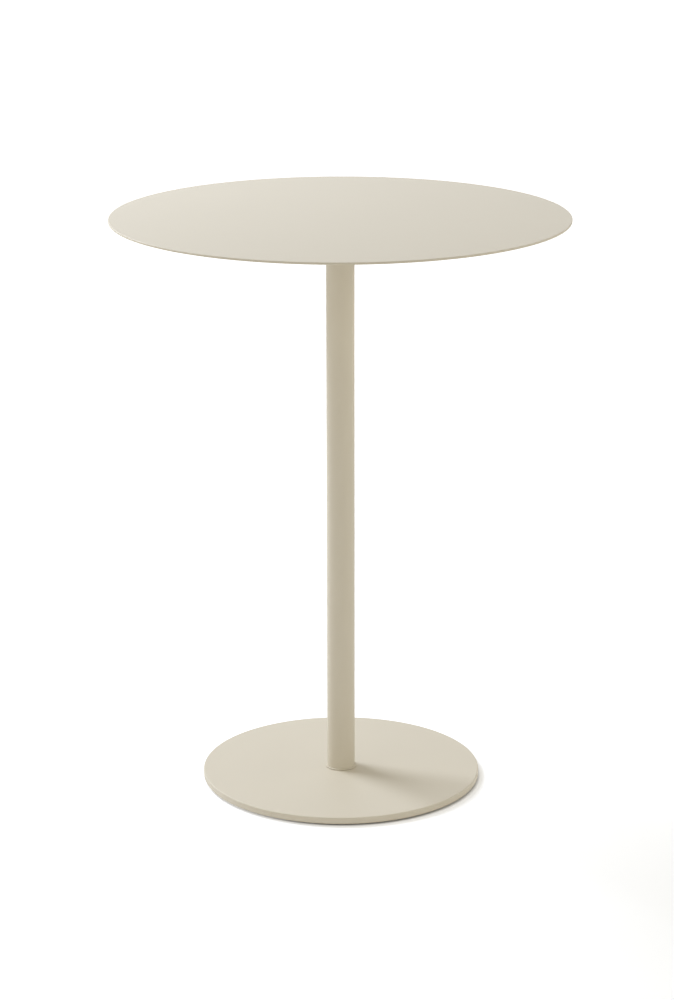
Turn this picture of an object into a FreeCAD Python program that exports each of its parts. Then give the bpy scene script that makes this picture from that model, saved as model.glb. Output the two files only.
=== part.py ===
# Round wine table: a thin steel top on a slim steel tube, which stands on a heavy round base plate.
# The top is screwed to the column's flange from below, and one bolt under the base holds the column.
# Millimetres. The origin lies on the floor under the column's axis, with +Z up.
import FreeCAD, Part
import enum
import os

import Sketcher

# Driving dimensions: name, value and what it measures
SIZES = (
    ("overall_height", "515", "floor to the face of the top"),
    ("top_diameter", "400", "round top"),
    ("top_thickness", "2", "sheet that the top is cut from"),
    ("top_edge_radius", "0.6", "rounding of the top's rim"),
    ("plate_thickness", "5", "mounting plate under the top"),
    ("plate_margin", "15", "mounting plate beyond the flange, all round"),
    ("plate_chamfer", "1", "lower rim of the mounting plate"),
    ("flange_thickness", "4", "flange on the head of the column"),
    ("flange_chamfer", "0.8", "lower rim of the flange"),
    ("vent_diameter", "12", "hole in the flange into the tube"),
    ("tube_diameter", "25", "column, outside"),
    ("tube_wall", "2", "column"),
    ("weld_leg", "3", "fillet weld between the tube and the flange"),
    ("screw_count", "4", "screws through the flange"),
    ("screw_offset", "20", "tube's surface to a screw's axis"),
    ("screw_margin", "12.5", "screw's axis to the flange's rim"),
    ("screw_diameter", "6", "thread, outside"),
    ("screw_clearance", "0.3", "round the screw in the flange"),
    ("screw_end_gap", "0.6", "screw's end to the top"),
    ("screw_head_diameter", "10.5", "button head"),
    ("screw_head_height", "3.3", "button head"),
    ("screw_dome_share", "0.7", "part of the button head's height that is domed"),
    ("screw_socket_flats", "4", "hexagon socket, across flats"),
    ("screw_socket_depth", "2", "hexagon socket"),
    ("screw_tip_chamfer", "0.8", "end of the thread"),
    ("washer_diameter", "12", "plain washer"),
    ("washer_thickness", "1.6", "plain washer"),
    ("washer_clearance", "0.2", "round the screw in the washer"),
    ("collar_lip", "1.5", "collar of the foot plug beyond the tube, all round"),
    ("collar_height", "1.2", "collar of the foot plug"),
    ("plug_length", "30", "foot plug inside the tube"),
    ("plug_clearance", "0.1", "round the foot plug in the tube"),
    ("plug_chamfer", "1.5", "lead-in at the plug's upper end"),
    ("base_diameter", "250", "round base plate"),
    ("base_thickness", "6", "base plate"),
    ("base_edge_radius", "1", "rounding of the base plate's rim"),
    ("bolt_diameter", "8", "thread, outside"),
    ("bolt_clearance", "0.5", "round the bolt in the base plate"),
    ("bolt_engagement", "22", "bolt inside the foot plug, above its collar"),
    ("bolt_socket_flats", "5", "hexagon socket, across flats"),
    ("bolt_socket_depth", "3", "hexagon socket"),
    ("bolt_tip_chamfer", "1", "end of the thread"),
    ("countersink_angle", "90", "bolt's head and its seat"),
    ("countersink_share", "0.66", "depth of the bolt's head in the base plate"),
    ("seat_clearance", "0.05", "between curved faces that seat on each other"),
    ("glide_count", "6", "glides under the base plate"),
    ("glide_start_angle", "30", "first glide, from +X"),
    ("glide_diameter", "22", "round glide"),
    ("glide_height", "2", "floor to the base plate"),
    ("glide_margin", "6", "glide's rim to the base plate's rim"),
    ("glide_chamfer", "0.6", "lower rim of a glide"),
    ("rounding_share", "0.45", "most of a wall that a rounding or chamfer takes"),
)
FULL_TURN_ANGLE = 360
HEXAGON_SIDE_COUNT = 6
EDGE_MATCH_SHARE = 1e-6

# Places on a sketch's geometry and the sketch's own axes, as its constraints number them
Place = enum.IntEnum("Place", "START END CENTRE")
X_AXIS = -1
Y_AXIS = X_AXIS - 1
ORIGIN = (X_AXIS, Place.START)

# Levels above the floor
BASE_UNDERSIDE = "Sizes.glide_height"
COLLAR_UNDERSIDE = f"({BASE_UNDERSIDE} + Sizes.base_thickness)"
TUBE_FOOT = f"({COLLAR_UNDERSIDE} + Sizes.collar_height)"
TOP_UNDERSIDE = "(Sizes.overall_height - Sizes.top_thickness)"
PLATE_UNDERSIDE = f"({TOP_UNDERSIDE} - Sizes.plate_thickness)"
FLANGE_UNDERSIDE = f"({PLATE_UNDERSIDE} - Sizes.flange_thickness)"
WASHER_UNDERSIDE = f"({FLANGE_UNDERSIDE} - Sizes.washer_thickness)"

# Fits and circles shared by several pieces
TUBE_BORE = "(Sizes.tube_diameter - 2 * Sizes.tube_wall)"
SCREW_CIRCLE_RADIUS = "(Sizes.tube_diameter / 2 + Sizes.screw_offset)"
FLANGE_DIAMETER = f"(2 * ({SCREW_CIRCLE_RADIUS} + Sizes.screw_margin))"
PLATE_DIAMETER = f"({FLANGE_DIAMETER} + 2 * Sizes.plate_margin)"
SCREW_TAPPED_HOLE = "(Sizes.screw_diameter + 2 * Sizes.seat_clearance)"
SCREW_PASSING_HOLE = "(Sizes.screw_diameter + 2 * Sizes.screw_clearance)"
WASHER_HOLE = "(Sizes.screw_diameter + 2 * Sizes.washer_clearance)"
BOLT_PASSING_HOLE = "(Sizes.bolt_diameter + 2 * Sizes.bolt_clearance)"
BOLT_TAPPED_RADIUS = "(Sizes.bolt_diameter / 2 + Sizes.seat_clearance)"
BOLT_HEAD_HEIGHT = "(Sizes.base_thickness * Sizes.countersink_share)"
BOLT_HEAD_RADIUS = f"(Sizes.bolt_diameter / 2 + {BOLT_HEAD_HEIGHT} * tan(Sizes.countersink_angle / 2))"
GLIDE_CIRCLE_RADIUS = "(Sizes.base_diameter / 2 - Sizes.glide_margin - Sizes.glide_diameter / 2)"

doc = FreeCAD.newDocument("WineTable")
sheet = doc.addObject("Spreadsheet::Sheet", "Sizes")
for row, (alias, size, note) in enumerate(SIZES, 1):
    sheet.set(f"A{row}", alias)
    sheet.set(f"B{row}", size)
    sheet.setAlias(f"B{row}", alias)
    sheet.set(f"C{row}", note)
doc.recompute()


def value(expression):
    """What an expression on the sheet comes to, where a sketch needs a first place for its geometry."""
    return float(sheet.evalExpression(expression))


def within(size, wall):
    """A rounding or chamfer that its wall limits."""
    return f"min({size}; {wall} * Sizes.rounding_share)"


def new_body(label, level):
    """A sub-part whose own XY plane lies at a level above the floor."""
    body = doc.addObject("PartDesign::Body", label)
    body.Label = label
    body.setExpression("Placement.Base.z", level)
    return body


def origin_feature(body, role):
    """One of the body's own origin planes or axes."""
    return next(feature for feature in body.Origin.OriginFeatures if feature.Role == role)


def new_sketch(body, name, role, offset=None):
    """A sketch on one of the body's origin planes, raised along its normal by an offset."""
    sketch = body.newObject("Sketcher::SketchObject", name)
    sketch.AttachmentSupport = [(origin_feature(body, role), "")]
    sketch.MapMode = "FlatFace"
    if offset:
        sketch.setExpression("AttachmentOffset.Base.z", offset)
    return sketch


def constrain(sketch, kind, *places):
    """A constraint without a size between places on a sketch's geometry."""
    sketch.addConstraint(Sketcher.Constraint(kind, *places))


def dimension(sketch, kind, name, expression, *places):
    """A named dimension of a sketch that follows the sheet."""
    index = sketch.addConstraint(Sketcher.Constraint(kind, *places, value(expression)))
    sketch.renameConstraint(index, name)
    sketch.setExpression(f"Constraints.{name}", expression)


def place_centre(sketch, circle, name, centre):
    """Holds a circle's centre on the sketch's X axis, at its origin or at a distance from it."""
    if centre == "0":
        constrain(sketch, "Coincident", circle, Place.CENTRE, *ORIGIN)
        return
    constrain(sketch, "PointOnObject", circle, Place.CENTRE, X_AXIS)
    dimension(sketch, "DistanceX", name, centre, *ORIGIN, circle, Place.CENTRE)


def add_circle(sketch, name, diameter, centre="0", construction=False):
    """A circle of a bound diameter, with its centre on the sketch's X axis."""
    middle = FreeCAD.Vector(value(centre), 0, 0)
    circle = Part.Circle(middle, FreeCAD.Vector(0, 0, 1), value(diameter) / 2)
    index = sketch.addGeometry(circle, construction)
    dimension(sketch, "Diameter", name, diameter, index)
    place_centre(sketch, index, f"{name}_centre", centre)
    return index


def disc(body, name, diameter, height, centre="0", bore=None, down=False):
    """A padded round disc, with a bore where one is given."""
    sketch = new_sketch(body, f"{name}Outline", "XY_Plane")
    add_circle(sketch, "outline", diameter, centre)
    if bore:
        add_circle(sketch, "bore", bore, centre)
    pad = body.newObject("PartDesign::Pad", name)
    pad.Profile = sketch
    pad.Reversed = down
    pad.setExpression("Length", height)
    doc.recompute()
    return pad


def turned(body, name, points):
    """A solid turned about the body's Z axis from an outline given as (radius, height) expressions."""
    sketch = new_sketch(body, f"{name}Outline", "XZ_Plane")
    corners = [FreeCAD.Vector(value(radius), value(height), 0) for radius, height in points]
    count = len(corners)
    for index in range(count):
        sketch.addGeometry(Part.LineSegment(corners[index], corners[(index + 1) % count]), False)
    for index, (radius, height) in enumerate(points):
        constrain(sketch, "Coincident", (index - 1) % count, Place.END, index, Place.START)
        if radius == "0":
            constrain(sketch, "PointOnObject", index, Place.START, Y_AXIS)
        else:
            dimension(sketch, "DistanceX", f"radius_{index}", radius, *ORIGIN, index, Place.START)
        if height == "0":
            constrain(sketch, "PointOnObject", index, Place.START, X_AXIS)
        else:
            dimension(sketch, "DistanceY", f"height_{index}", height, *ORIGIN, index, Place.START)
    revolution = body.newObject("PartDesign::Revolution", name)
    revolution.Profile = sketch
    revolution.ReferenceAxis = (sketch, ["V_Axis"])
    revolution.Angle = FULL_TURN_ANGLE
    doc.recompute()
    return revolution


def checked_cut(before, cut):
    """Stops the build where a cut took nothing from its body."""
    doc.recompute()
    if not cut.Shape.Volume < before.Shape.Volume:
        raise RuntimeError(f"{cut.Label} cuts nothing")
    return cut


def round_pattern(body, name, mode):
    """Copies about the column's axis, one for each screw."""
    pattern = body.newObject("PartDesign::PolarPattern", name)
    pattern.TransformMode = mode
    pattern.Axis = (origin_feature(body, "Z_Axis"), [""])
    pattern.Angle = FULL_TURN_ANGLE
    pattern.setExpression("Occurrences", "Sizes.screw_count")
    body.Tip = pattern
    return pattern


def through_holes(body, name, before, diameter):
    """The screws' holes through a disc, on the screw circle."""
    sketch = new_sketch(body, f"{name}Place", "XY_Plane")
    add_circle(sketch, "hole", diameter, SCREW_CIRCLE_RADIUS)
    pocket = body.newObject("PartDesign::Pocket", name)
    pocket.Profile = sketch
    pocket.Type = "ThroughAll"
    pocket.Reversed = True
    checked_cut(before, pocket)
    pattern = round_pattern(body, f"{name}Pattern", "Features")
    pattern.Originals = [pocket]
    return checked_cut(pocket, pattern)


def hexagon_socket(body, name, before, flats, depth, centre="0", offset=None):
    """A hexagon socket, cut upwards from the foot of a fastener's head."""
    sketch = new_sketch(body, f"{name}Outline", "XY_Plane", offset)
    across_corners = f"{flats} / cos({FULL_TURN_ANGLE} / {2 * HEXAGON_SIDE_COUNT})"
    corner_circle = add_circle(sketch, "corners", across_corners, centre, construction=True)
    middle = FreeCAD.Vector(value(centre), 0, 0)
    corner = FreeCAD.Vector(value(across_corners) / 2, 0, 0)
    turn = FreeCAD.Rotation(FreeCAD.Vector(0, 0, 1), FULL_TURN_ANGLE / HEXAGON_SIDE_COUNT)
    edges = []
    for _ in range(HEXAGON_SIDE_COUNT):
        following = turn.multVec(corner)
        edges.append(sketch.addGeometry(Part.LineSegment(middle + corner, middle + following), False))
        corner = following
    for index, edge in enumerate(edges):
        constrain(sketch, "Coincident", edges[index - 1], Place.END, edge, Place.START)
        constrain(sketch, "PointOnObject", edge, Place.END, corner_circle)
        if index:
            constrain(sketch, "Equal", edges[0], edge)
    constrain(sketch, "PointOnObject", edges[0], Place.START, X_AXIS)
    pocket = body.newObject("PartDesign::Pocket", name)
    pocket.Profile = sketch
    pocket.Reversed = True
    pocket.setExpression("Length", depth)
    return checked_cut(before, pocket)


def rim_edges(feature, radius, level=None):
    """Names of a feature's circular edges of one radius, at one level of the body where it is given."""
    tolerance = value(radius) * EDGE_MATCH_SHARE
    names = []
    for index, edge in enumerate(feature.Shape.Edges, 1):
        if not isinstance(edge.Curve, Part.Circle):
            continue
        if abs(edge.Curve.Radius - value(radius)) > tolerance:
            continue
        if level is None or abs(edge.Curve.Center.z - value(level)) < tolerance:
            names.append(f"Edge{index}")
    return names


def rounded(body, name, before, edges, radius):
    """Rounds edges of the feature before."""
    fillet = body.newObject("PartDesign::Fillet", name)
    fillet.Base = (before, edges)
    fillet.setExpression("Radius", radius)
    doc.recompute()
    return fillet


def chamfered(body, name, before, edges, size):
    """Chamfers edges of the feature before."""
    chamfer = body.newObject("PartDesign::Chamfer", name)
    chamfer.Base = (before, edges)
    chamfer.setExpression("Size", size)
    doc.recompute()
    return chamfer


def make_table_top():
    """The round top, a flat sheet with a rounded rim."""
    body = new_body("table_top", TOP_UNDERSIDE)
    sheet_disc = disc(body, "TopSheet", "Sizes.top_diameter", "Sizes.top_thickness")
    edges = rim_edges(sheet_disc, "Sizes.top_diameter / 2")
    rounded(body, "TopRim", sheet_disc, edges, within("Sizes.top_edge_radius", "Sizes.top_thickness"))
    return body


def make_mounting_plate():
    """The tapped plate that is welded under the middle of the top."""
    body = new_body("top_mounting_plate", PLATE_UNDERSIDE)
    plate = disc(body, "Plate", PLATE_DIAMETER, "Sizes.plate_thickness")
    edges = rim_edges(plate, f"{PLATE_DIAMETER} / 2", "0")
    size = within("Sizes.plate_chamfer", "Sizes.plate_thickness")
    chamfer = chamfered(body, "PlateRim", plate, edges, size)
    through_holes(body, "TappedHole", chamfer, SCREW_TAPPED_HOLE)
    return body


def make_column_flange():
    """The flange on the head of the column, with the screws' holes and a vent into the tube."""
    body = new_body("column_flange", FLANGE_UNDERSIDE)
    flange = disc(body, "Flange", FLANGE_DIAMETER, "Sizes.flange_thickness", bore="Sizes.vent_diameter")
    edges = rim_edges(flange, f"{FLANGE_DIAMETER} / 2", "0")
    size = within("Sizes.flange_chamfer", "Sizes.flange_thickness")
    chamfer = chamfered(body, "FlangeRim", flange, edges, size)
    through_holes(body, "ScrewHole", chamfer, SCREW_PASSING_HOLE)
    return body


def make_column_tube():
    """The column, from the foot plug's collar up to the flange."""
    body = new_body("column_tube", TUBE_FOOT)
    disc(body, "Tube", "Sizes.tube_diameter", f"{FLANGE_UNDERSIDE} - {TUBE_FOOT}", bore=TUBE_BORE)
    return body


def make_head_weld():
    """The fillet weld round the tube, under the flange."""
    body = new_body("head_weld", f"{FLANGE_UNDERSIDE} - Sizes.weld_leg")
    root = "Sizes.tube_diameter / 2 + Sizes.seat_clearance"
    points = ((root, "0"), (f"{root} + Sizes.weld_leg", "Sizes.weld_leg"), (root, "Sizes.weld_leg"))
    turned(body, "Bead", points)
    return body


def make_foot_plug():
    """The threaded plug in the tube's foot, whose thin collar shows under the tube."""
    body = new_body("foot_plug", COLLAR_UNDERSIDE)
    collar = "Sizes.tube_diameter / 2 + Sizes.collar_lip"
    spigot = f"{TUBE_BORE} / 2 - Sizes.plug_clearance"
    chamfer = within("Sizes.plug_chamfer", f"({spigot} - {BOLT_TAPPED_RADIUS})")
    upper_end = "Sizes.collar_height + Sizes.plug_length"
    points = (
        (BOLT_TAPPED_RADIUS, "0"),
        (collar, "0"),
        (collar, "Sizes.collar_height"),
        (spigot, "Sizes.collar_height"),
        (spigot, f"{upper_end} - {chamfer}"),
        (f"{spigot} - {chamfer}", upper_end),
        (BOLT_TAPPED_RADIUS, upper_end),
    )
    turned(body, "Plug", points)
    return body


def make_base_plate():
    """The heavy round base, with a countersunk hole for the bolt from below."""
    body = new_body("base_plate", BASE_UNDERSIDE)
    plate = disc(body, "BaseDisc", "Sizes.base_diameter", "Sizes.base_thickness")
    edges = rim_edges(plate, "Sizes.base_diameter / 2")
    rim = rounded(body, "BaseRim", plate, edges, within("Sizes.base_edge_radius", "Sizes.base_thickness"))
    place = new_sketch(body, "BoltPlace", "XY_Plane")
    add_circle(place, "hole", BOLT_PASSING_HOLE)
    doc.recompute()
    hole = body.newObject("PartDesign::Hole", "BoltHole")
    hole.Profile = place
    doc.recompute()
    hole.ThreadType = "None"
    hole.DepthType = "ThroughAll"
    hole.HoleCutType = "Countersink"
    hole.HoleCutCustomValues = True
    hole.Reversed = True
    hole.setExpression("Diameter", BOLT_PASSING_HOLE)
    hole.setExpression("HoleCutDiameter", f"2 * ({BOLT_HEAD_RADIUS} + Sizes.seat_clearance)")
    hole.setExpression("HoleCutCountersinkAngle", "Sizes.countersink_angle")
    checked_cut(rim, hole)
    return body


def make_base_bolt():
    """The countersunk bolt, flush with the base plate's underside and screwed into the foot plug."""
    body = new_body("base_bolt", BASE_UNDERSIDE)
    shank = "Sizes.bolt_diameter / 2"
    length = "(Sizes.base_thickness + Sizes.collar_height + Sizes.bolt_engagement)"
    chamfer = within("Sizes.bolt_tip_chamfer", shank)
    points = (
        ("0", "0"),
        (BOLT_HEAD_RADIUS, "0"),
        (shank, BOLT_HEAD_HEIGHT),
        (shank, f"{length} - {chamfer}"),
        (f"{shank} - {chamfer}", length),
        ("0", length),
    )
    bolt = turned(body, "Bolt", points)
    hexagon_socket(body, "BoltSocket", bolt, "Sizes.bolt_socket_flats", "Sizes.bolt_socket_depth")
    return body


def make_flange_washers():
    """A plain washer under each screw's head."""
    body = new_body("flange_washers", WASHER_UNDERSIDE)
    body.AllowCompound = True
    disc(body, "Washer", "Sizes.washer_diameter", "Sizes.washer_thickness", SCREW_CIRCLE_RADIUS, WASHER_HOLE)
    round_pattern(body, "WasherPattern", "Whole shape")
    return body


def make_flange_screws():
    """Button-head screws, driven up through the flange into the mounting plate."""
    body = new_body("flange_screws", WASHER_UNDERSIDE)
    body.AllowCompound = True
    centre = SCREW_CIRCLE_RADIUS
    head = disc(body, "Head", "Sizes.screw_head_diameter", "Sizes.screw_head_height", centre, down=True)
    edges = rim_edges(head, "Sizes.screw_head_diameter / 2", "-Sizes.screw_head_height")
    rounded(body, "HeadDome", head, edges, "Sizes.screw_head_height * Sizes.screw_dome_share")
    length = "Sizes.washer_thickness + Sizes.flange_thickness + Sizes.plate_thickness - Sizes.screw_end_gap"
    shank = disc(body, "Shank", "Sizes.screw_diameter", length, centre)
    edges = rim_edges(shank, "Sizes.screw_diameter / 2", length)
    tip = chamfered(body, "Tip", shank, edges, within("Sizes.screw_tip_chamfer", "Sizes.screw_diameter / 2"))
    hexagon_socket(body, "ScrewSocket", tip, "Sizes.screw_socket_flats", "Sizes.screw_socket_depth",
                   centre, "-Sizes.screw_head_height")
    round_pattern(body, "ScrewPattern", "Whole shape")
    return body


def make_glide(index):
    """One of the round glides that keep the base plate off the floor."""
    body = new_body(f"glide_{index + 1}", "0")
    angle = f"(Sizes.glide_start_angle + {index} * {FULL_TURN_ANGLE} / Sizes.glide_count)"
    body.setExpression("Placement.Base.x", f"{GLIDE_CIRCLE_RADIUS} * cos({angle})")
    body.setExpression("Placement.Base.y", f"{GLIDE_CIRCLE_RADIUS} * sin({angle})")
    pad = disc(body, "Glide", "Sizes.glide_diameter", "Sizes.glide_height")
    edges = rim_edges(pad, "Sizes.glide_diameter / 2", "0")
    chamfered(body, "GlideRim", pad, edges, within("Sizes.glide_chamfer", "Sizes.glide_height"))
    return body


sub_parts = [
    make_table_top(),
    make_mounting_plate(),
    make_column_flange(),
    make_column_tube(),
    make_head_weld(),
    make_foot_plug(),
    make_base_plate(),
    make_base_bolt(),
    make_flange_washers(),
    make_flange_screws(),
]
sub_parts += [make_glide(index) for index in range(int(value("Sizes.glide_count")))]
doc.recompute()

for item in doc.Objects:
    if "Invalid" in item.State or "Error" in item.State:
        raise RuntimeError(f"{item.Label} failed: {item.State}")
for part in sub_parts:
    if part.Shape.isNull() or not part.Shape.isValid():
        raise RuntimeError(f"{part.Label} has no valid shape")

os.makedirs("parts", exist_ok=True)
for part in sub_parts:
    part.Shape.exportStep(f"parts/{part.Label}.step")
    print(part.Label, "solids", len(part.Shape.Solids), "volume", round(part.Shape.Volume, 3))
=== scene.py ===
"""Looks of a round wine table: its pieces, finishes and stage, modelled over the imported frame."""

import math

import bmesh
import bpy
from mathutils import Matrix, Vector


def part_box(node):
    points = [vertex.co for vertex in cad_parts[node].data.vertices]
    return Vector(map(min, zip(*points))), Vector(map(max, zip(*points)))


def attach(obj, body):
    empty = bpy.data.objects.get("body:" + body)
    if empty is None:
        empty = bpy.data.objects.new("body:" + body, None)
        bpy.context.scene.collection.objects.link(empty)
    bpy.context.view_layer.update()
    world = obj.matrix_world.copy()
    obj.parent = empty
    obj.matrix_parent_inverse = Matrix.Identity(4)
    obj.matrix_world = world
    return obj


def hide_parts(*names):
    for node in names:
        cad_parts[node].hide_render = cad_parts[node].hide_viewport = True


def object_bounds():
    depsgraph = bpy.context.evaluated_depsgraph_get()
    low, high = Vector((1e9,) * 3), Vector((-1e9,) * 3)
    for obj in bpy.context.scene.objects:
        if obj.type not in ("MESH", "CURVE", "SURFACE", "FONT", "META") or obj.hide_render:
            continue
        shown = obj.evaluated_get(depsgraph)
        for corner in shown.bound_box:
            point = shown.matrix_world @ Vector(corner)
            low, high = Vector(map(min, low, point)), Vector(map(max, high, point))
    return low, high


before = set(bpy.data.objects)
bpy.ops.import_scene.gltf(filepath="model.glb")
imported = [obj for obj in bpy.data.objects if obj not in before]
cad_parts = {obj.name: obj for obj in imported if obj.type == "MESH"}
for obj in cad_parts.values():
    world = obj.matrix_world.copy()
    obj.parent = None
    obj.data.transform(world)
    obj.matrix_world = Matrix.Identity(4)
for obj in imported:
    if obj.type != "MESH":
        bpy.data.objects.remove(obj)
cad_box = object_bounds()

bl_info = {
    "name": "Wine Table",
    "version": (1, 0, 0),
    "blender": (4, 5, 0),
    "location": "View3D > Sidebar > Wine Table",
    "description": "Models the pieces, finishes and stage of a round steel wine table",
    "category": "Add Mesh",
}

BODY = "root"
COAT = "powder_coat"
ZINC = "zinc_steel"
PLASTIC = "glide_plastic"
MERGE_DISTANCE = 1e-7
LEVEL_TOLERANCE = 1e-6
CREASE_ANGLE = math.radians(35)
ROUND_PROFILE = 0.5
HEXAGON_SIDES = 6
UP = Vector((0, 0, 1))
WHITE = (1, 1, 1, 1)

# Each part of a unit vector at 45 degrees
DIAGONAL = math.sqrt(0.5)

# Product of two shares of a whole where both are a half
MIDWAY_PRODUCT = 0.25

# A run of an outline that is shorter than this many margins gets no supports
SUPPORT_ROOM = 3

# A thread's crest and foot, of its pitch, and how far it sinks into the core, of its depth
CREST_SHARE = 1 / 8
FOOT_SHARE = 0.9
SINK_SHARE = 1 / 4

# Mean of a noise, and the part of the coat's tone that is a broad cloud and not fine grain
NOISE_MEAN = 0.5
CLOUD_SHARE = 0.7

# Sockets of a Mix node that is set to colours, which share their names with its other sockets
MIX_FACTOR = 0
MIX_FIRST = 6
MIX_SECOND = 7
MIX_RESULT = 2


def length(name, description, default):
    """A property for one length, in metres."""
    return bpy.props.FloatProperty(
        name=name, description=description, default=default, unit="LENGTH", precision=5)


def angle(name, description, degrees):
    """A property for one angle."""
    return bpy.props.FloatProperty(
        name=name, description=description, default=math.radians(degrees), subtype="ANGLE")


def colour(name, description, default):
    """A property for one colour, in linear light."""
    return bpy.props.FloatVectorProperty(
        name=name, description=description, default=default, subtype="COLOR", min=0, max=1)


def factor(name, description, default):
    """A property for one share between 0 and 1."""
    return bpy.props.FloatProperty(
        name=name, description=description, default=default, subtype="FACTOR", min=0, max=1)


def power(name, description, default):
    """A property for one lamp's power, in watts."""
    return bpy.props.FloatProperty(name=name, description=description, default=default, unit="POWER")


def count(name, description, default):
    """A property for one whole number."""
    return bpy.props.IntProperty(name=name, description=description, default=default, min=1)


class TableSizes(bpy.types.PropertyGroup):
    """Sizes of the table's pieces that the boxes of the frame don't give."""

    disc_steps: count("Disc steps", "Steps in a full turn of the top and the base", 320)
    tube_steps: count("Tube steps", "Steps in a full turn of the column and its joints", 128)
    small_steps: count("Small steps", "Steps in a full turn of a screw, a washer or a glide", 64)
    rounding_segments: count("Rounding segments", "Segments of a rounded edge", 6)
    edge_support: length("Edge support", "Narrow strip that keeps a flat face flat beside its edge", 0.0004)
    cut_edge: length("Cut edge", "Rounding of an edge that is only deburred", 0.00025)
    seat_clearance: length("Seat clearance", "Between curved faces that seat on each other", 0.00005)
    top_rim: length("Top rim", "Rounding of the top's rim", 0.0006)
    base_rim: length("Base rim", "Rounding of the base plate's rim", 0.001)
    tube_wall: length("Tube wall", "Wall of the column", 0.002)
    plug_clearance: length("Plug clearance", "Round the foot plug in the tube", 0.0001)
    plug_chamfer: length("Plug chamfer", "Lead-in at the plug's upper end", 0.0015)
    collar_height: length("Collar height", "Collar of the foot plug under the tube", 0.0012)
    collar_edge: length("Collar edge", "Rounding of the collar's upper edge", 0.00035)
    collar_crease: length("Collar crease", "Rounding of the collar's lower edge", 0.0008)
    plate_chamfer: length("Plate chamfer", "Lower rim of the mounting plate", 0.001)
    flange_chamfer: length("Flange chamfer", "Lower rim of the flange", 0.0008)
    vent_diameter: length("Vent", "Hole in the flange into the tube", 0.012)
    weld_swell: factor("Weld swell", "How far the weld bead stands out of its flat face, of its leg", 0.16)
    weld_steps: count("Weld steps", "Steps in a full turn of the weld bead", 384)
    weld_ripples: count("Weld ripples", "Ripples round the weld bead", 46)
    weld_bow: factor("Weld bow", "How far a ripple bows along the bead, of half a ripple", 0.6)
    weld_ripple_height: length("Weld ripple height", "Height of one ripple under the coat", 0.00016)
    screw_count: count("Screws", "Screws through the flange", 4)
    screw_diameter: length("Screw diameter", "Thread of a screw, outside", 0.006)
    screw_pitch: length("Screw pitch", "Pitch of a screw's thread", 0.001)
    screw_clearance: length("Screw clearance", "Round a screw in the flange", 0.0003)
    screw_head_diameter: length("Screw head", "Diameter of the button head", 0.0105)
    screw_head_height: length("Screw head height", "Height of the button head", 0.0033)
    screw_dome: factor("Screw dome", "Part of the button head's height that is domed", 0.7)
    screw_socket_flats: length("Screw socket", "Hexagon socket of a screw, across flats", 0.004)
    screw_socket_depth: length("Screw socket depth", "Hexagon socket of a screw", 0.002)
    screw_tip: length("Screw tip", "Chamfer at the end of a screw", 0.0008)
    washer_diameter: length("Washer", "Outside diameter of a washer", 0.012)
    washer_clearance: length("Washer clearance", "Round a screw in its washer", 0.0002)
    bolt_diameter: length("Bolt diameter", "Thread of the base bolt, outside", 0.008)
    bolt_pitch: length("Bolt pitch", "Pitch of the base bolt's thread", 0.00125)
    bolt_clearance: length("Bolt clearance", "Round the bolt in the base plate", 0.0005)
    bolt_socket_flats: length("Bolt socket", "Hexagon socket of the bolt, across flats", 0.005)
    bolt_socket_depth: length("Bolt socket depth", "Hexagon socket of the bolt", 0.003)
    bolt_tip: length("Bolt tip", "Chamfer at the end of the bolt", 0.001)
    thread_depth: factor("Thread depth", "Depth of a thread, of its pitch", 0.6)
    glide_count: count("Glides", "Glides under the base plate", 6)
    glide_chamfer: length("Glide chamfer", "Lower rim of a glide", 0.0006)
    gate_radius: length("Gate mark", "Radius of the moulding mark under a glide", 0.0015)
    gate_depth: length("Gate mark depth", "Depth of the moulding mark under a glide", 0.0003)


class TableFinishes(bpy.types.PropertyGroup):
    """Colours and grain of the table's finishes."""

    coat_colour: colour("Coat colour", "Cream powder coat", (0.70, 0.65, 0.545))
    coat_roughness: factor("Coat roughness", "Matte sheen of the powder coat", 0.52)
    coat_unevenness: factor("Coat unevenness", "How far the coat's roughness varies", 0.1)
    coat_tone: factor("Coat tone", "How far the coat's colour varies", 0.014)
    coat_cloud: length("Coat cloud", "Width of the coat's broad changes of tone", 0.09)
    coat_grain: length("Coat grain", "Width of one grain of the coat's fine texture", 0.0005)
    coat_grain_depth: length("Coat grain depth", "Depth of the coat's fine texture", 0.000008)
    coat_flow: length("Coat flow", "Width of the shallow waves in the coat", 0.005)
    coat_flow_depth: length("Coat flow depth", "Depth of the shallow waves in the coat", 0.000012)
    zinc_bright: colour("Zinc, bright", "Zinc plating, cool patches", (0.66, 0.68, 0.7))
    zinc_dull: colour("Zinc, dull", "Zinc plating, warm patches", (0.58, 0.57, 0.53))
    zinc_patch: length("Zinc patch", "Width of a patch in the plating", 0.0025)
    zinc_roughness: factor("Zinc roughness", "Sheen of the plating", 0.3)
    zinc_unevenness: factor("Zinc unevenness", "How far the plating's roughness varies", 0.2)
    turning_pitch: length("Turning pitch", "Width of one turning mark on a fastener", 0.00022)
    turning_depth: length("Turning depth", "Depth of the turning marks", 0.000004)
    plastic_colour: colour("Plastic colour", "Black glides", (0.045, 0.045, 0.047))
    plastic_tone: factor("Plastic tone", "How far the glides' colour varies", 0.15)
    plastic_roughness: factor("Plastic roughness", "Sheen of the glides", 0.5)
    plastic_unevenness: factor("Plastic unevenness", "How far the glides' roughness varies", 0.2)
    plastic_grain: length("Plastic grain", "Width of one grain of the moulded texture", 0.0003)
    plastic_grain_depth: length("Plastic grain depth", "Depth of the moulded texture", 0.00001)


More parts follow.
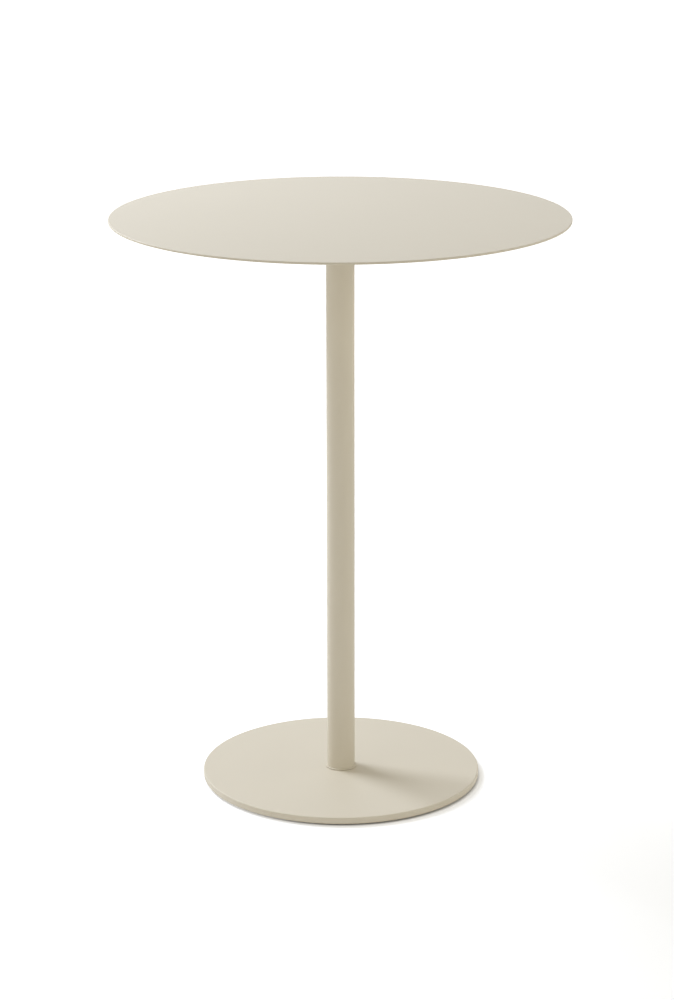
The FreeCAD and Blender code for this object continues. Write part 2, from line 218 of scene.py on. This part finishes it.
class TableStage(bpy.types.PropertyGroup):
    """Camera, lights and floor."""

    camera_distance: length("Camera distance", "From the column's axis, towards the viewer", 2.457)
    camera_height: length("Camera height", "Above the floor", 0.976)
    camera_tilt: angle("Camera tilt", "Below the horizon", 16.25)
    camera_turn: angle("Camera turn", "To the left of straight ahead", 0.075)
    camera_roll: angle("Camera roll", "About the line of sight", -0.109)
    camera_lens: bpy.props.FloatProperty(
        name="Lens", description="Focal length", default=103.8, unit="CAMERA")
    key_turn: angle("Key direction", "Round the column from the right, against the clock", 145)
    key_rise: angle("Key rise", "Above the floor", 43)
    key_distance: length("Key distance", "From the middle of the column", 2.1)
    key_size: length("Key size", "Side of the square soft box", 0.9)
    key_power: power("Key power", "Soft box behind the table's left side", 35.5)
    key_colour: colour("Key colour", "Slightly cool, like a window", (0.85, 0.9, 1))
    panel_rise: angle("Panel rise", "Above the floor", 18)
    panel_distance: length("Panel distance", "From the middle of the column", 2.2)
    panel_width: length("Panel width", "Along the floor", 3.6)
    panel_height: length("Panel height", "Up from the floor", 1.2)
    left_turn: angle("Left panel direction", "Round the column from the right, against the clock", 215)
    left_power: power("Left panel power", "Panel beside the table's left side", 8.2)
    right_turn: angle("Right panel direction", "Round the column from the right, against the clock", -15)
    right_power: power("Right panel power", "Panel beside the table's right side", 14.2)
    panel_colour: colour("Panel colour", "Both panels, slightly warm", (1, 0.97, 0.84))
    sky_colour: colour("Sky colour", "Soft light from all round, slightly warm", (1, 0.94, 0.82))
    sky_level: bpy.props.FloatProperty(
        name="Sky level", description="Soft light from all round", default=0.36)
    floor_size: length("Floor size", "Side of the square floor", 30)
    floor_colour: colour("Floor colour", "Floor as the camera sees it", (0.9, 0.92, 0.96))
    floor_bounce: colour("Floor bounce", "Floor as it lights the table", (0.92, 0.9, 0.87))
    floor_contact: length("Floor contact", "Strip under the base's rim where the glow sets in", 0.0045)
    # Painted light and shade: shifting the floor's glow to the right paints the dark line under the base's
    # rim deeper on the right and lighter on the left, as if light reached under the left rim
    floor_painted_shade_shift: length("Floor drift", "How far the floor's glow lies to the right of the column", 0.003)
    floor_near: length("Floor near", "Radius within which the floor keeps its shading", 0.5)
    floor_far: length("Floor far", "Radius from which the floor fades into the background", 2.0)
    floor_lift: factor("Floor lift", "Glow of the near floor, for the camera alone", 0.38)
    floor_fade: factor("Floor fade", "Glow of the far floor, for the camera alone", 0.85)


class Shade:
    """A shader socket that takes part in Python sums: each sum adds its Math node to the tree."""

    def __init__(self, tree, socket=None):
        self.tree = tree
        self.socket = socket

    def node(self, kind, settings=None, inputs=None, output=0):
        """Adds a node: first its settings, then the values or links of its sockets."""
        made = self.tree.nodes.new(kind)
        for name, setting in (settings or {}).items():
            setattr(made, name, setting)
        for name, value in (inputs or {}).items():
            if isinstance(value, Shade):
                self.tree.links.new(value.socket, made.inputs[name])
            else:
                made.inputs[name].default_value = value
        return Shade(self.tree, made.outputs[output] if made.outputs else None)

    def math(self, operation, first, second=0.0):
        """A Math node on two values or links."""
        return self.node("ShaderNodeMath", {"operation": operation}, {0: first, 1: second})

    def __add__(self, other):
        return self.math("ADD", self, other)

    def __sub__(self, other):
        return self.math("SUBTRACT", self, other)

    def __rsub__(self, other):
        return self.math("SUBTRACT", other, self)

    def __mul__(self, other):
        return self.math("MULTIPLY", self, other)

    __radd__ = __add__
    __rmul__ = __mul__


def clear_tree(owner):
    """An empty node tree of a material or a world, ready for its first node."""
    owner.use_nodes = True
    owner.node_tree.nodes.clear()
    return Shade(owner.node_tree)


def noise(place, width, detail=2.0):
    """Even noise whose lumps are about as wide as given."""
    return place.node("ShaderNodeTexNoise", None, {"Vector": place, "Scale": 1 / width, "Detail": detail})


def mixed(share, first, second):
    """A colour between two, by a share."""
    inputs = {MIX_FACTOR: share, MIX_FIRST: first, MIX_SECOND: second}
    return share.node("ShaderNodeMix", {"data_type": "RGBA"}, inputs, MIX_RESULT)


def shaded(base, light):
    """A colour made lighter or darker, with an alpha of 1."""
    return (*(channel * light for channel in base), 1)


def toned(share, base, tone):
    """A colour that goes from darker to lighter by a tone, as a share goes from 0 to 1."""
    return mixed(share, shaded(base, 1 - tone), shaded(base, 1 + tone))


def uneven(noise_value, middle, swing):
    """A value that swings about its middle with a noise."""
    return middle + swing * (noise_value - NOISE_MEAN)


def surface(height, inputs):
    """A finished surface: a shader with a bump of real height, set as the tree's output."""
    normal = height.node("ShaderNodeBump", None, {"Distance": 1.0, "Height": height})
    shader = height.node("ShaderNodeBsdfPrincipled", None, {**inputs, "Normal": normal})
    height.node("ShaderNodeOutputMaterial", None, {"Surface": shader})


def paint_coat(start, look):
    """Matte powder coat: a fine grain on shallow waves, with a faint cloud of tone."""
    place = start.node("ShaderNodeTexCoord", output="Object")
    grain = noise(place, look.coat_grain)
    flow = noise(place, look.coat_flow, detail=1.0)
    cloud = noise(place, look.coat_cloud)
    share = cloud * CLOUD_SHARE + grain * (1 - CLOUD_SHARE)
    surface(grain * look.coat_grain_depth + flow * look.coat_flow_depth, {
        "Base Color": toned(share, look.coat_colour, look.coat_tone),
        "Roughness": uneven(grain, look.coat_roughness, look.coat_unevenness),
    })


def paint_zinc(start, look):
    """Bright zinc plating with turning marks and patches that are a little warmer and duller."""
    place = start.node("ShaderNodeTexCoord", output="Object")
    patch = noise(place, look.zinc_patch)
    reach = start.node("ShaderNodeAttribute", {"attribute_name": "axis_distance"}, output="Fac")
    turning = start.math("SINE", reach * (math.tau / look.turning_pitch))
    surface(turning * look.turning_depth, {
        "Base Color": mixed(patch, shaded(look.zinc_bright, 1), shaded(look.zinc_dull, 1)),
        "Roughness": uneven(patch, look.zinc_roughness, look.zinc_unevenness),
        "Metallic": 1.0,
    })


def paint_plastic(start, look):
    """Black plastic with a moulded grain."""
    place = start.node("ShaderNodeTexCoord", output="Object")
    grain = noise(place, look.plastic_grain)
    surface(grain * look.plastic_grain_depth, {
        "Base Color": toned(grain, look.plastic_colour, look.plastic_tone),
        "Roughness": uneven(grain, look.plastic_roughness, look.plastic_unevenness),
    })


PAINTERS = {COAT: paint_coat, ZINC: paint_zinc, PLASTIC: paint_plastic}


def finish(slot):
    """The material of one of the record's slots, made the first time that it is asked for."""
    material = bpy.data.materials.get(f"{slot}_finish")
    if material is None:
        material = bpy.data.materials.new(f"{slot}_finish")
        PAINTERS[slot](clear_tree(material), bpy.context.scene.table_finishes)
    return material


def extent(node):
    """Radius, lower level and upper level of a node that is round about the column's axis."""
    low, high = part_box(node)
    return high.x, low.z, high.z


def only(kind, parts):
    """The vertices, edges or faces among what an operator returns."""
    return [part for part in parts if isinstance(part, kind)]


def support_run(edge, margin):
    """Splits a long straight run of an outline near both its ends."""
    run = edge.calc_length()
    if run > SUPPORT_ROOM * margin:
        start, end = edge.verts
        _, near = bmesh.utils.edge_split(edge, start, margin / run)
        rest = next(other for other in near.link_edges if end in other.verts)
        bmesh.utils.edge_split(rest, end, margin / (run - margin))


def turned(outline, steps, ring=False):
    """A mesh turned about Z from (radius, height, rounding) corners, joined end to start for a ring."""
    sizes = bpy.context.scene.table_sizes
    bm = bmesh.new()
    corners = [bm.verts.new((radius, 0, height)) for radius, height, _ in outline]
    for start, end in zip(corners, corners[1:] + corners[:1] if ring else corners[1:]):
        bm.edges.new((start, end))
    for corner, (_, _, rounding) in zip(corners, outline):
        if rounding:
            bmesh.ops.bevel(bm, geom=[corner], affect="VERTICES", offset=rounding, offset_type="OFFSET",
                            segments=sizes.rounding_segments, profile=ROUND_PROFILE, material=-1)
    for edge in bm.edges[:]:
        support_run(edge, sizes.edge_support)
    bmesh.ops.spin(bm, geom=bm.verts[:] + bm.edges[:], cent=(0, 0, 0), axis=UP, angle=math.tau,
                   steps=steps, use_merge=True)
    bmesh.ops.remove_doubles(bm, verts=bm.verts[:], dist=MERGE_DISTANCE)
    return bm


def rim_edges(bm, radius, level):
    """Edges of a bmesh on a circle about Z at one level."""
    def on_rim(vert):
        at_radius = abs(vert.co.xy.length - radius) < LEVEL_TOLERANCE
        return at_radius and abs(vert.co.z - level) < LEVEL_TOLERANCE
    return [edge for edge in bm.edges if all(map(on_rim, edge.verts))]


def drilled_disc(radius, low, high, holes, chamfer):
    """A disc between two levels with a chamfered lower rim and round holes, each a (place, radius)."""
    sizes = bpy.context.scene.table_sizes
    bm = bmesh.new()
    bmesh.ops.create_circle(bm, segments=sizes.tube_steps, radius=radius)
    for place, hole_radius in holes:
        bmesh.ops.create_circle(bm, segments=sizes.small_steps, radius=hole_radius,
                                matrix=Matrix.Translation(place))
    bmesh.ops.triangle_fill(bm, use_beauty=True, edges=bm.edges[:], normal=UP)
    raised = only(bmesh.types.BMVert, bmesh.ops.extrude_face_region(bm, geom=bm.faces[:])["geom"])
    bmesh.ops.translate(bm, verts=raised, vec=UP * (high - low))
    bmesh.ops.translate(bm, verts=bm.verts[:], vec=UP * low)
    bmesh.ops.bevel(bm, geom=rim_edges(bm, radius, low), affect="EDGES", offset=chamfer,
                    offset_type="OFFSET", segments=1, profile=ROUND_PROFILE, material=-1)
    return bm


def on_circle(radius, share):
    """A place on a circle about the column, a share of a full turn from +X."""
    return Matrix.Rotation(share * math.tau, 3, "Z") @ Vector((radius, 0, 0))


def screw_circle(sizes):
    """Radius of the circle that the screws stand on, from the reach of their washers."""
    return extent("flange_washers")[0] - sizes.washer_diameter / 2


def mark_axis_distance(bm):
    """Keeps each vertex's distance from its piece's own axis, which the turning marks follow."""
    layer = bm.verts.layers.float.new("axis_distance")
    for vert in bm.verts:
        vert[layer] = vert.co.xy.length


def repeat_round(bm, radius, copies):
    """Moves a bmesh out to a circle about the column and repeats it there."""
    source = bm.verts[:] + bm.edges[:] + bm.faces[:]
    for index in range(copies):
        made = bmesh.ops.duplicate(bm, geom=source)["geom"]
        bmesh.ops.translate(bm, verts=only(bmesh.types.BMVert, made), vec=on_circle(radius, index / copies))
    bmesh.ops.delete(bm, geom=only(bmesh.types.BMVert, source), context="VERTS")


def socket_screw(outline, flats, depth):
    """A screw about Z, turned from its head's face to its tip, with a hexagon socket in the face."""
    sizes = bpy.context.scene.table_sizes
    bm = turned(outline, sizes.small_steps)
    rim = [edge for edge in bm.edges if edge.is_boundary]
    face_level = outline[0][1]
    corner_radius = flats / 2 / math.cos(math.pi / HEXAGON_SIDES)
    corners = bmesh.ops.create_circle(bm, segments=HEXAGON_SIDES, radius=corner_radius,
                                      matrix=Matrix.Translation(UP * face_level))["verts"]
    mouth = list({edge for corner in corners for edge in corner.link_edges})
    bmesh.ops.bridge_loops(bm, edges=rim + mouth)
    walls = bmesh.ops.extrude_edge_only(bm, edges=mouth)["geom"]
    bmesh.ops.translate(bm, verts=only(bmesh.types.BMVert, walls), vec=UP * depth)
    bmesh.ops.edgeloop_fill(bm, edges=only(bmesh.types.BMEdge, walls))
    return bm


def cut_thread(bm, radius, pitch, low, high):
    """Winds a thread's ridge round a screw's core, running out at both ends."""
    sizes = bpy.context.scene.table_sizes
    core = radius - pitch * sizes.thread_depth
    turns = (high - low) / pitch - 1
    steps = round(turns * sizes.small_steps / 2)
    root = core - pitch * sizes.thread_depth * SINK_SHARE
    crest_half = pitch * CREST_SHARE / 2
    foot_half = pitch * FOOT_SHARE / 2
    section = ((root, -foot_half), (radius, -crest_half), (radius, crest_half), (root, foot_half))
    middle = low + pitch / 2
    verts = [bm.verts.new((reach, 0, middle + rise)) for reach, rise in section]
    face = bm.faces.new(verts)
    wound = verts + face.edges[:] + [face]
    known = set(bm.verts) - set(verts)
    bmesh.ops.spin(bm, geom=wound, cent=(0, 0, 0), axis=UP, angle=turns * math.tau,
                   dvec=UP * (turns * pitch / steps), steps=steps)
    for vert in set(bm.verts) - known:
        reach = vert.co.xy.length
        from_end = min(vert.co.z - low, high - vert.co.z) / pitch
        shown = min(1, max(0, from_end))
        vert.co.xy *= (root + (reach - root) * shown) / reach


def add_piece(bm, name, node, slot):
    """Closes a bmesh into the piece that stands for a node of the frame, in one of the finishes."""
    bmesh.ops.recalc_face_normals(bm, faces=bm.faces[:])
    mesh = bpy.data.meshes.new(name)
    bm.to_mesh(mesh)
    bm.free()
    mesh.shade_smooth()
    mesh.set_sharp_from_angle(angle=CREASE_ANGLE)
    mesh.materials.append(finish(slot))
    piece = bpy.data.objects.new(name, mesh)
    bpy.context.scene.collection.objects.link(piece)
    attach(piece, BODY)
    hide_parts(node)


class WINETABLE_OT_top(bpy.types.Operator):
    """Model the round sheet-steel top"""

    bl_idname = "wine_table.top"
    bl_label = "Round Top"

    def execute(self, context):
        sizes = context.scene.table_sizes
        radius, low, high = extent("table_top")
        outline = ((0, low, 0), (radius, low, sizes.top_rim), (radius, high, sizes.top_rim), (0, high, 0))
        add_piece(turned(outline, sizes.disc_steps), "round_top", "table_top", COAT)
        return {"FINISHED"}


class WINETABLE_OT_head(bpy.types.Operator):
    """Model the mounting plate under the top, the column's flange and the weld between flange and tube"""

    bl_idname = "wine_table.head"
    bl_label = "Head Joint"

    def execute(self, context):
        sizes = context.scene.table_sizes
        self.add_plate(sizes)
        self.add_flange(sizes)
        self.add_weld(sizes)
        return {"FINISHED"}

    def screw_holes(self, sizes, radius):
        """Places and radii of the holes on the screws' circle."""
        circle = screw_circle(sizes)
        return [(on_circle(circle, index / sizes.screw_count), radius) for index in range(sizes.screw_count)]

    def add_plate(self, sizes):
        """The tapped plate that is welded under the top."""
        radius, low, high = extent("top_mounting_plate")
        holes = self.screw_holes(sizes, sizes.screw_diameter / 2 + sizes.seat_clearance)
        disc = drilled_disc(radius, low, high, holes, sizes.plate_chamfer)
        add_piece(disc, "tapped_plate", "top_mounting_plate", COAT)

    def add_flange(self, sizes):
        """The flange on the column's head, with a vent into the tube."""
        radius, low, high = extent("column_flange")
        holes = self.screw_holes(sizes, sizes.screw_diameter / 2 + sizes.screw_clearance)
        holes.append((Vector((0, 0, 0)), sizes.vent_diameter / 2))
        disc = drilled_disc(radius, low, high, holes, sizes.flange_chamfer)
        add_piece(disc, "head_flange", "column_flange", COAT)

    def add_weld(self, sizes):
        """The swelling weld bead, with ripples that bow along the way it was laid."""
        outer, low, high = extent("head_weld")
        root = extent("column_tube")[0]
        leg = high - low
        swell = leg * sizes.weld_swell
        middle = (root + leg / 2 + swell, high - leg / 2 - swell, leg / 2)
        outline = ((root, low, 0), middle, (outer, high, 0), (root, high, 0))
        bm = turned(outline, sizes.weld_steps, ring=True)
        for vert in bm.verts:
            across = (vert.co.xy.length - root - (vert.co.z - low)) / leg
            out = max(0, vert.co.xy.length - root) / leg * max(0, high - vert.co.z) / leg
            bow = (1 - across * across) * sizes.weld_bow
            phase = sizes.weld_ripples * math.atan2(vert.co.y, vert.co.x) + bow * math.pi
            ripple = sizes.weld_ripple_height * math.cos(phase) * min(1, out / MIDWAY_PRODUCT)
            outward = vert.co.xy.normalized()
            vert.co += Vector((*outward, -1)) * ripple * DIAGONAL
        add_piece(bm, "weld_bead", "head_weld", COAT)


class WINETABLE_OT_column(bpy.types.Operator):
    """Model the column's tube and the collared plug in its foot"""

    bl_idname = "wine_table.column"
    bl_label = "Column"

    def execute(self, context):
        sizes = context.scene.table_sizes
        radius, low, high = extent("column_tube")
        bore = radius - sizes.tube_wall
        outline = ((bore, low, 0), (radius, low, 0), (radius, high, 0), (bore, high, 0))
        add_piece(turned(outline, sizes.tube_steps, ring=True), "tube", "column_tube", COAT)

        collar, low, high = extent("foot_plug")
        spigot = bore - sizes.plug_clearance
        tapped = sizes.bolt_diameter / 2 + sizes.seat_clearance
        shoulder = low + sizes.collar_height
        outline = (
            (tapped, low, 0),
            (collar, low, sizes.collar_crease),
            (collar, shoulder, sizes.collar_edge),
            (spigot, shoulder, 0),
            (spigot, high - sizes.plug_chamfer, 0),
            (spigot - sizes.plug_chamfer, high, 0),
            (tapped, high, 0),
        )
        add_piece(turned(outline, sizes.tube_steps, ring=True), "collared_plug", "foot_plug", COAT)
        return {"FINISHED"}


class WINETABLE_OT_base(bpy.types.Operator):
    """Model the heavy base plate, countersunk from below"""

    bl_idname = "wine_table.base"
    bl_label = "Base Plate"

    def execute(self, context):
        sizes = context.scene.table_sizes
        radius, low, high = extent("base_plate")
        passing = sizes.bolt_diameter / 2 + sizes.bolt_clearance
        seat = extent("base_bolt")[0] + sizes.seat_clearance
        outline = (
            (passing, high, 0),
            (radius, high, sizes.base_rim),
            (radius, low, sizes.base_rim),
            (seat, low, 0),
            (passing, low + seat - passing, 0),
        )
        add_piece(turned(outline, sizes.disc_steps, ring=True), "base_disc", "base_plate", COAT)
        return {"FINISHED"}


class WINETABLE_OT_fasteners(bpy.types.Operator):
    """Model the flange's screws and washers and the bolt under the base"""

    bl_idname = "wine_table.fasteners"
    bl_label = "Screws, Washers and Bolt"

    def execute(self, context):
        sizes = context.scene.table_sizes
        self.add_washers(sizes)
        self.add_screws(sizes)
        self.add_bolt(sizes)
        return {"FINISHED"}

    def add_washers(self, sizes):
        """A plain washer under each screw's head."""
        _, low, high = extent("flange_washers")
        outer = sizes.washer_diameter / 2
        inner = sizes.screw_diameter / 2 + sizes.washer_clearance
        edge = sizes.cut_edge
        outline = ((inner, low, edge), (outer, low, edge), (outer, high, edge), (inner, high, edge))
        bm = turned(outline, sizes.small_steps, ring=True)
        mark_axis_distance(bm)
        repeat_round(bm, screw_circle(sizes), sizes.screw_count)
        add_piece(bm, "zinc_washers", "flange_washers", ZINC)

    def add_screws(self, sizes):
        """Button-head screws, driven up into the mounting plate."""
        _, low, high = extent("flange_screws")
        head = sizes.screw_head_diameter / 2
        dome = sizes.screw_head_height * sizes.screw_dome
        seat = low + sizes.screw_head_height
        thread = sizes.screw_diameter / 2
        core = thread - sizes.screw_pitch * sizes.thread_depth
        face = head - dome
        outline = (
            (face, low, 0),
            (head, low, dome),
            (head, seat, 0),
            (core, seat, 0),
            (core, high - sizes.screw_tip, 0),
            (core - sizes.screw_tip, high, 0),
            (0, high, 0),
        )
        bm = socket_screw(outline, sizes.screw_socket_flats, sizes.screw_socket_depth)
        cut_thread(bm, thread, sizes.screw_pitch, seat, high)
        mark_axis_distance(bm)
        repeat_round(bm, screw_circle(sizes), sizes.screw_count)
        add_piece(bm, "zinc_screws", "flange_screws", ZINC)

    def add_bolt(self, sizes):
        """The countersunk bolt, flush with the base plate's underside."""
        head, low, high = extent("base_bolt")
        thread = sizes.bolt_diameter / 2
        core = thread - sizes.bolt_pitch * sizes.thread_depth
        neck = low + head - thread
        face = head - sizes.cut_edge
        outline = (
            (face, low, 0),
            (head, low + sizes.cut_edge, 0),
            (thread, neck, 0),
            (core, neck + thread - core, 0),
            (core, high - sizes.bolt_tip, 0),
            (core - sizes.bolt_tip, high, 0),
            (0, high, 0),
        )
        bm = socket_screw(outline, sizes.bolt_socket_flats, sizes.bolt_socket_depth)
        cut_thread(bm, thread, sizes.bolt_pitch, neck, high)
        mark_axis_distance(bm)
        add_piece(bm, "zinc_bolt", "base_bolt", ZINC)


class WINETABLE_OT_glides(bpy.types.Operator):
    """Model the low plastic glides under the base"""

    bl_idname = "wine_table.glides"
    bl_label = "Glides"

    def execute(self, context):
        sizes = context.scene.table_sizes
        for number in range(1, sizes.glide_count + 1):
            node = f"glide_{number}"
            low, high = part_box(node)
            radius = (high.x - low.x) / 2
            chamfer = sizes.glide_chamfer
            outline = (
                (0, low.z + sizes.gate_depth, 0),
                (sizes.gate_radius, low.z + sizes.gate_depth, 0),
                (sizes.gate_radius + sizes.gate_depth, low.z, 0),
                (radius - chamfer, low.z, 0),
                (radius, low.z + chamfer, 0),
                (radius, high.z, 0),
                (0, high.z, 0),
            )
            bm = turned(outline, sizes.small_steps)
            middle = (low + high) / 2
            bmesh.ops.translate(bm, verts=bm.verts[:], vec=(middle.x, middle.y, 0))
            add_piece(bm, f"glide_pad_{number}", node, PLASTIC)
        return {"FINISHED"}


class WINETABLE_OT_stage(bpy.types.Operator):
    """Set up the floor, the soft light and the camera"""

    bl_idname = "wine_table.stage"
    bl_label = "Stage"

    def execute(self, context):
        stage = context.scene.table_stage
        context.scene.view_settings.view_transform = "Standard"
        self.add_floor(context, stage)
        self.add_sky(context, stage)
        self.add_lamps(context, stage)
        self.add_camera(context, stage)
        return {"FINISHED"}

    def seen(self, start):
        """1 for a ray that shows the background, straight or in a reflection, and 0 for one that lights."""
        rays = [start.node("ShaderNodeLightPath", output=name)
                for name in ("Is Camera Ray", "Is Glossy Ray", "Is Transmission Ray")]
        return start.math("MAXIMUM", start.math("MAXIMUM", rays[0], rays[1]), rays[2])

    def ramp(self, value, start, end, height):
        """A smooth rise from 0 to a height, while a value goes from a start to an end."""
        ends = {"Value": value, "From Min": start, "From Max": end, "To Max": height}
        return value.node("ShaderNodeMapRange", {"interpolation_type": "SMOOTHSTEP"}, ends)

    def add_floor(self, context, stage):
        """A pale floor that keeps the table's shadow and fades into the background; its glow, for the camera
        alone, is shifted to the right, which paints the dark line under the base's rim deeper on the right
        and fainter on the left.
        """
        bm = bmesh.new()
        bmesh.ops.create_grid(bm, x_segments=1, y_segments=1, size=stage.floor_size / 2)
        mesh = bpy.data.meshes.new("floor")
        bm.to_mesh(mesh)
        bm.free()
        floor = bpy.data.objects.new("floor", mesh)
        context.scene.collection.objects.link(floor)

        material = bpy.data.materials.new("pale_floor")
        mesh.materials.append(material)
        start = clear_tree(material)
        place = start.node("ShaderNodeTexCoord", output="Object")
        # Painted shade: the glow's middle moves right, so less glow reaches under the base's right rim and
        # more under its left rim
        drift = Vector((-stage.floor_painted_shade_shift, 0, 0))
        centred = start.node("ShaderNodeMapping", None, {"Vector": place, "Location": drift})
        reach = start.node("ShaderNodeVectorMath", {"operation": "LENGTH"}, {0: centred}, "Value")
        rim = extent("base_plate")[0]
        # No glow under the base, full glow from its rim out: the dark line under the rim is the real shadow,
        # with painted shade added on the right by the shifted glow
        near = self.ramp(reach, rim - stage.floor_contact, rim, stage.floor_lift)
        far = self.ramp(reach, stage.floor_near, stage.floor_far, stage.floor_fade - stage.floor_lift)
        pale = start.node("ShaderNodeBsdfDiffuse", None, {"Color": (*stage.floor_colour, 1)})
        light = start.node("ShaderNodeEmission", None, {"Color": WHITE, "Strength": near + far})
        shown = start.node("ShaderNodeAddShader", None, {0: pale, 1: light})
        bounce = start.node("ShaderNodeBsdfDiffuse", None, {"Color": (*stage.floor_bounce, 1)})
        both = start.node("ShaderNodeMixShader", None, {0: self.seen(start), 1: bounce, 2: shown})
        start.node("ShaderNodeOutputMaterial", None, {"Surface": both})

    def add_sky(self, context, stage):
        """Even soft light from all round, white where it is seen."""
        world = bpy.data.worlds.new("studio")
        context.scene.world = world
        start = clear_tree(world)
        sky = {"Color": (*stage.sky_colour, 1), "Strength": stage.sky_level}
        unseen = start.node("ShaderNodeBackground", None, sky)
        white = start.node("ShaderNodeBackground", None, {"Color": WHITE, "Strength": 1.0})
        both = start.node("ShaderNodeMixShader", None, {0: self.seen(start), 1: unseen, 2: white})
        start.node("ShaderNodeOutputWorld", None, {"Surface": both})

    def add_lamps(self, context, stage):
        """A soft box behind the table's left side, and a low panel on the left and on the right."""
        key = self.add_soft_box(context, "key", stage.key_size, stage.key_size)
        self.light_up(key, stage.key_power, stage.key_colour)
        self.aim(key, stage.key_turn, stage.key_rise, stage.key_distance)
        panels = (
            ("left", stage.left_turn, stage.left_power),
            ("right", stage.right_turn, stage.right_power),
        )
        for name, turn, watts in panels:
            panel = self.add_soft_box(context, name, stage.panel_width, stage.panel_height)
            self.light_up(panel, watts, stage.panel_colour)
            self.aim(panel, turn, stage.panel_rise, stage.panel_distance)

    def add_soft_box(self, context, name, width, height):
        """An evenly bright rectangle."""
        lamp = bpy.data.lights.new(name, "AREA")
        lamp.shape = "RECTANGLE"
        lamp.size = width
        lamp.size_y = height
        box = bpy.data.objects.new(name, lamp)
        box.visible_camera = False
        context.scene.collection.objects.link(box)
        return box

    def light_up(self, box, watts, tint):
        """Gives a soft box its power and colour."""
        box.data.energy = watts
        box.data.color = tint

    def aim(self, box, turn, rise, distance):
        """Places a soft box round the column's middle and faces it there."""
        out = Matrix.Rotation(turn, 3, "Z") @ Matrix.Rotation(-rise, 3, "Y") @ Vector((1, 0, 0))
        box.location = (cad_box[0] + cad_box[1]) / 2 + out * distance
        box.rotation_mode = "QUATERNION"
        box.rotation_quaternion = (-out).to_track_quat("-Z", "Y")

    def add_camera(self, context, stage):
        """The camera in front of the table, looking down at it."""
        lens = bpy.data.cameras.new("camera")
        lens.lens = stage.camera_lens
        camera = bpy.data.objects.new("camera", lens)
        context.scene.collection.objects.link(camera)
        place = Matrix.Translation((0, -stage.camera_distance, stage.camera_height))
        turn = Matrix.Rotation(stage.camera_turn, 4, "Z")
        tilt = Matrix.Rotation(math.pi / 2 - stage.camera_tilt, 4, "X")
        roll = Matrix.Rotation(stage.camera_roll, 4, "Z")
        camera.matrix_world = place @ turn @ tilt @ roll
        context.scene.camera = camera


OPERATORS = (
    WINETABLE_OT_stage,
    WINETABLE_OT_top,
    WINETABLE_OT_head,
    WINETABLE_OT_column,
    WINETABLE_OT_base,
    WINETABLE_OT_fasteners,
    WINETABLE_OT_glides,
)


class WINETABLE_PT_sidebar(bpy.types.Panel):
    """The table's pieces, sizes and finishes"""

    bl_idname = "WINETABLE_PT_sidebar"
    bl_label = "Wine Table"
    bl_space_type = "VIEW_3D"
    bl_region_type = "UI"
    bl_category = "Wine Table"

    def draw(self, context):
        layout = self.layout
        for operator in OPERATORS:
            layout.operator(operator.bl_idname)
        for group in (context.scene.table_sizes, context.scene.table_finishes, context.scene.table_stage):
            column = layout.column(align=True)
            for name in group.__annotations__:
                column.prop(group, name)


CLASSES = (TableSizes, TableFinishes, TableStage, *OPERATORS, WINETABLE_PT_sidebar)


def register():
    for item in CLASSES:
        bpy.utils.register_class(item)
    bpy.types.Scene.table_sizes = bpy.props.PointerProperty(type=TableSizes)
    bpy.types.Scene.table_finishes = bpy.props.PointerProperty(type=TableFinishes)
    bpy.types.Scene.table_stage = bpy.props.PointerProperty(type=TableStage)


def unregister():
    del bpy.types.Scene.table_stage
    del bpy.types.Scene.table_finishes
    del bpy.types.Scene.table_sizes
    for item in reversed(CLASSES):
        bpy.utils.unregister_class(item)


def main():
    register()
    bpy.ops.wine_table.stage()
    bpy.ops.wine_table.top()
    bpy.ops.wine_table.head()
    bpy.ops.wine_table.column()
    bpy.ops.wine_table.base()
    bpy.ops.wine_table.fasteners()
    bpy.ops.wine_table.glides()


if __name__ == "__main__":
    main()
